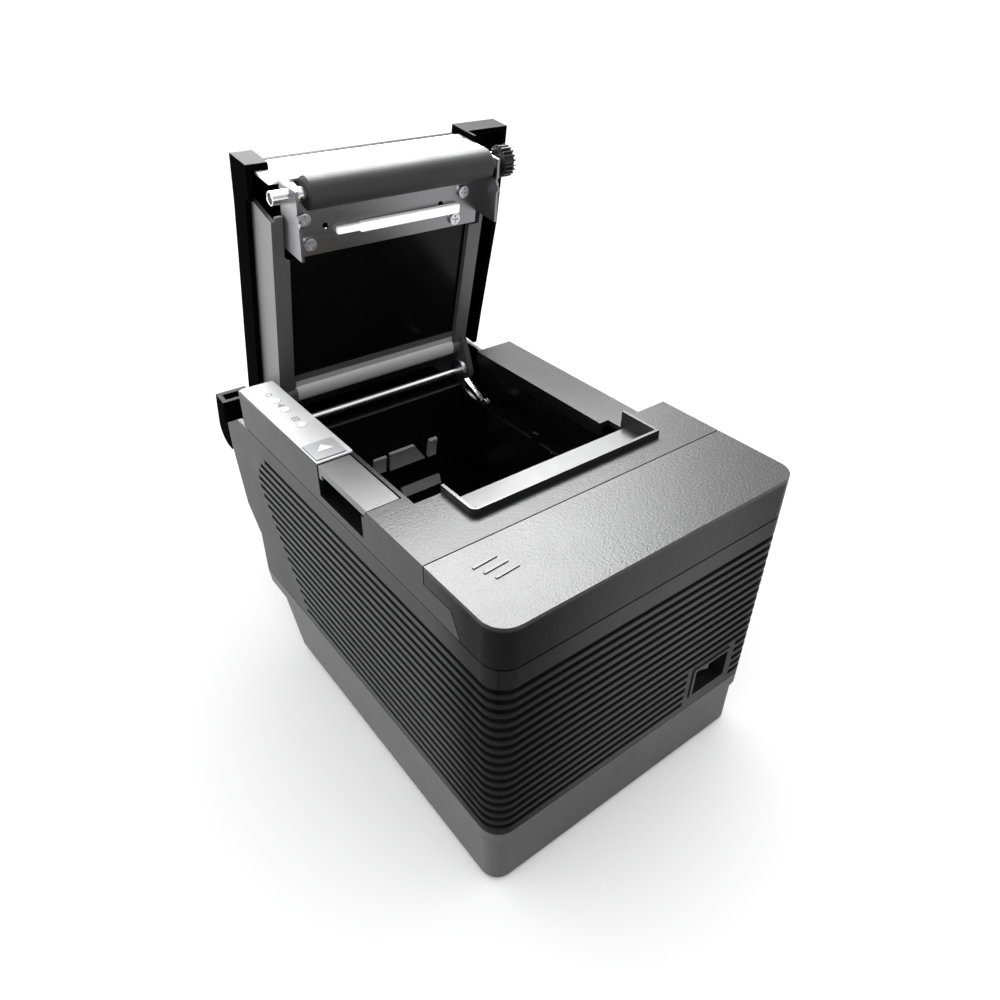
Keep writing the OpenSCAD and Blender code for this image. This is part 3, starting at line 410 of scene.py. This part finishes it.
# generic pictograms beside the lamps: power, warning, paper
def arc_strip(cx, cy, r0, r1, a0, a1, n=28):
    o, i = ring(cx, cy, r0, r1, a0, a1, n)
    for k in range(n):
        q = [o[k], o[k + 1], i[k + 1], i[k]]
        plate_from_outline(bm, q, LT - 0.03, LT + 0.03)
arc_strip(9, 174.8, 1.15, 1.5, math.radians(125), math.radians(415))
plate_from_outline(bm, [(8.83, 174.9), (9.17, 174.9), (9.17, 176.9), (8.83, 176.9)], LT - 0.03, LT + 0.03)
tri = [(7.4, 162.1), (10.6, 162.1), (9, 164.9)]
tri_in = [(8.05, 162.5), (9.95, 162.5), (9, 164.15)]
for k in range(3):
    j = (k + 1) % 3
    plate_from_outline(bm, [tri[k], tri[j], tri_in[j], tri_in[k]], LT - 0.03, LT + 0.03)
plate_from_outline(bm, [(8.86, 162.8), (9.14, 162.8), (9.14, 163.6), (8.86, 163.6)], LT - 0.03, LT + 0.03)
rec = [(7.6, 147.2), (10.4, 147.2), (10.4, 150.6), (7.6, 150.6)]
rin = [(7.9, 147.5), (10.1, 147.5), (10.1, 150.3), (7.9, 150.3)]
for k in range(4):
    j = (k + 1) % 4
    plate_from_outline(bm, [rec[k], rec[j], rin[j], rin[k]], LT - 0.03, LT + 0.03)
for yy in (148.3, 149.3):
    plate_from_outline(bm, [(8.3, yy), (9.7, yy), (9.7, yy + 0.3), (8.3, yy + 0.3)], LT - 0.03, LT + 0.03)
marks = mesh_obj("label_pictograms", bm, MATS["ink"])
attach(marks, "printer_body")
bm = bmesh.new()
for cy in (143, 158.5, 168):
    arc_strip(9, cy, 1.95, 2.3, 0.0, 2 * math.pi, 36)
rings = mesh_obj("lamp_rings", bm, MATS["lampring"])
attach(rings, "printer_body")

# painted shade: dark boxes behind the three slots of the bracket's flange stand in for the shadowed hollow
def lid_pt(x, y, z):
    """drawing mm on the closed lid -> the same point on the open lid"""
    a, b = y - 186.3, z - 113.9
    th = math.radians(82.456)
    return fit(x, 186.3 + a * math.cos(th) + b * math.sin(th), 113.9 - a * math.sin(th) + b * math.cos(th))
bm = bmesh.new()
for x in (40, 75, 112):
    c = [bm.verts.new(lid_pt(x + dx, y, z)) for y in (72.72, 73.78) for z in (125.04, 126.36) for dx in (0.04, 8.96)]
    for f in ((0, 1, 3, 2), (4, 6, 7, 5), (0, 4, 5, 1), (2, 3, 7, 6), (0, 2, 6, 4), (1, 5, 7, 3)):
        bm.faces.new([c[i] for i in f])
bmesh.ops.recalc_face_normals(bm, faces=bm.faces)
# dark boxes as painted shade behind the slots
slot_shade = mesh_obj("slot_shade_boxes", bm, MATS["lid"])
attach(slot_shade, "lid")

# raised arrow on the feed button
bm = bmesh.new()
BT = 138.3
plate_from_outline(bm, [(4.0, 119.4), (11.0, 119.4), (7.5, 124.0)], BT - 0.1, BT + 0.18)
arrow = mesh_obj("feed_arrow", bm, MATS["ink"])
arrow.data.materials.clear(); arrow.data.materials.append(MATS["arrow"])
b = arrow.modifiers.new("bevel", "BEVEL"); b.width = 0.00012; b.segments = 2
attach(arrow, "feed")

# ------------------------------------------------------------------ stage
bm = bmesh.new()
s = 30.0
vs = [bm.verts.new(p) for p in ((-s, -s, 0), (s, -s, 0), (s, s, 0), (-s, s, 0))]
bm.faces.new(vs)
fm, nt, bs = new_mat("floor")
fv = tex_coord(nt)
nt.links.new(ramp(nt, noise(nt, fv, 3, 2, 0.5), [(0.3, (0.92, 0.92, 0.92)), (0.7, (0.94, 0.94, 0.94))]), bs.inputs["Base Color"])
bs.inputs["Roughness"].default_value = 0.7
floor = mesh_obj("floor", bm, fm)

# soft white room, darker towards the front where a studio would hang black cloth
world = bpy.data.worlds.new("world")
world.use_nodes = True
wt = world.node_tree
wtc = wt.nodes.new("ShaderNodeTexCoord")
wdot = wt.nodes.new("ShaderNodeVectorMath"); wdot.operation = "DOT_PRODUCT"
wt.links.new(wtc.outputs["Generated"], wdot.inputs[0])
wdot.inputs[1].default_value = (-0.10, 0.80, 0.90)
wmr = wt.nodes.new("ShaderNodeMapRange")
wmr.interpolation_type = "SMOOTHSTEP"
wmr.inputs["From Min"].default_value = -0.70
wmr.inputs["From Max"].default_value = 0.35
wmr.inputs["To Min"].default_value = 0.50
wmr.inputs["To Max"].default_value = 1.42
wt.links.new(wdot.outputs["Value"], wmr.inputs["Value"])
wt.links.new(wmr.outputs["Result"], wt.nodes["Background"].inputs["Strength"])
wt.nodes["Background"].inputs["Color"].default_value = (1, 1, 1, 1)
scene.world = world

def area(name, loc, target, size, power, sy=None):
    ld = bpy.data.lights.new(name, "AREA")
    ld.energy = power
    ld.shape = "RECTANGLE"
    ld.size = size
    ld.size_y = sy or size
    o = bpy.data.objects.new(name, ld)
    scene.collection.objects.link(o)
    o.location = loc
    o.rotation_euler = (Vector(target) - Vector(loc)).to_track_quat("-Z", "Y").to_euler()
    return o

# big soft box behind and above, for the sheen on the top faces, and a weaker one on the left
key = area("key", (0.44, 0.88, 1.30), (-0.05, -0.06, 0.14), 1.15, 96, 0.75)
fill = area("fill", (0.25, 1.45, 0.62), (-0.06, 0.05, 0.13), 0.9, 13, 0.4)
left = area("left", (-0.72, 0.50, 0.17), (-0.06, 0.02, 0.06), 0.5, 8.5, 0.3)

# the two boxes are flagged off the floor, so it stays an even white
off_floor = bpy.data.collections.new("flagged_off")
off_floor.objects.link(floor)
off_floor.collection_objects[0].light_linking.link_state = "EXCLUDE"
for lamp in (key, fill, left):
    lamp.light_linking.receiver_collection = off_floor
# a small card lights the pale paper guide inside the lid
card = area("card", (-0.35, -0.75, 0.45), (0, 0.09, 0.21), 0.4, 6.0, 0.3)
card_on = bpy.data.collections.new("card_on")
for nm in ("guide_bar", "bracket_screws"):
    card_on.objects.link(N[nm])
for co in card_on.collection_objects:
    co.light_linking.link_state = "INCLUDE"
card.light_linking.receiver_collection = card_on
